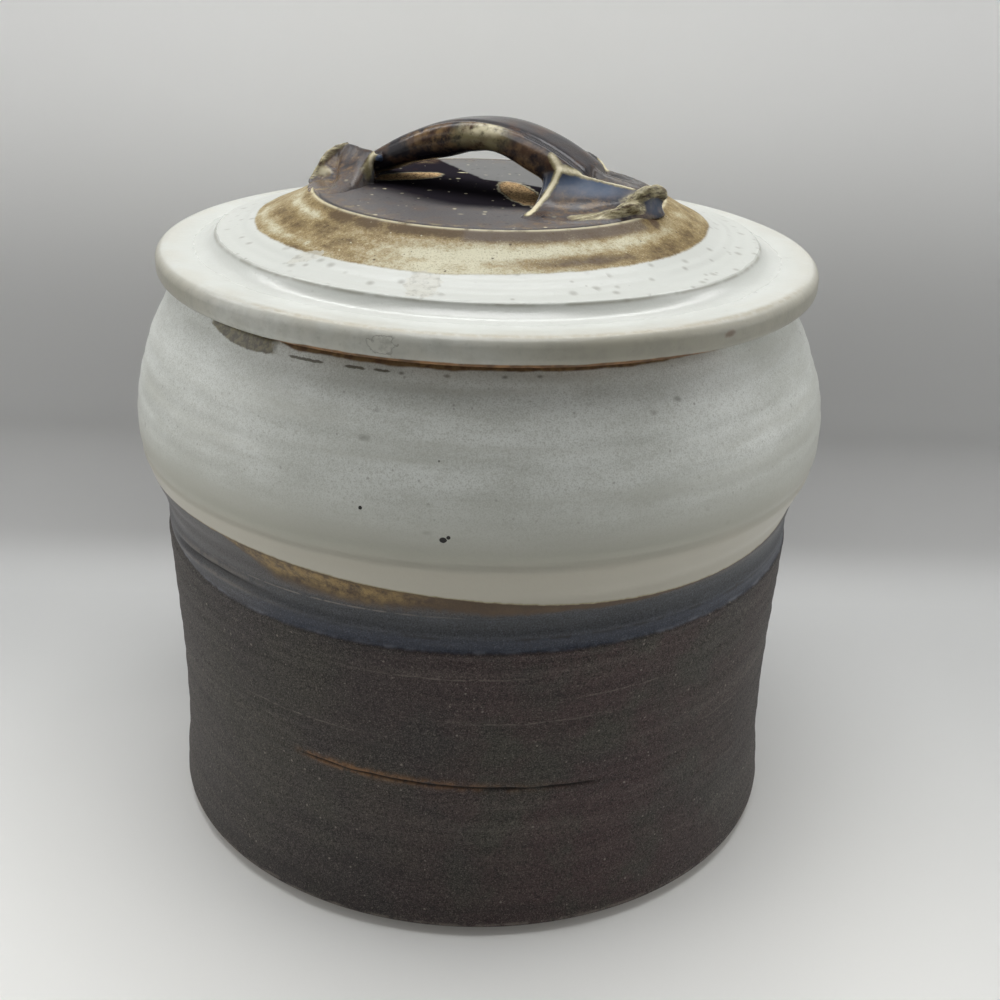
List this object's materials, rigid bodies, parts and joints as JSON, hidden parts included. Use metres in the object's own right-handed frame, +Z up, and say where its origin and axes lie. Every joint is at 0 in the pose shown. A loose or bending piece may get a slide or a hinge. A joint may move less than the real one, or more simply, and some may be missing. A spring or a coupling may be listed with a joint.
{
  "type": "stoneware canister",
  "caption": "Round lidded stoneware storage jar with a belly under its rim, a bare dark lower wall, and a lift-off domed lid with an arched strap handle.",
  "frame": {"origin": "middle of the base, on the surface that the jar stands on", "axes": "+Z up through the jar, -Y towards the viewer of the picture, +X to the right in it"},
  "size_m": [0.2332, 0.2332, 0.2399],
  "materials": {
    "jar_stoneware": "pale satin glaze over a bare dark iron-bearing clay wall, with a blue-brown line where they meet",
    "lid_glaze": "pale satin glaze, running into mottled brown and a dark glossy glaze on the turned flat",
    "bare_clay": "unglazed toasted clay, matt and slightly gritty",
    "handle_glaze": "dark glossy iron glaze that breaks to olive and cream on edges"
  },
  "bodies": {
    "jar": {"jar_body": "jar_stoneware"},
    "lid": {"lid_cover": "lid_glaze", "lid_locating_ring": "bare_clay", "lid_handle": "handle_glaze"}
  },
  "joints": [
    {"name": "lid_lift", "type": "slide", "parent": "jar", "child": "lid", "axis": [0, 0, 1], "range_m": [0, 0.12]}
  ]
}
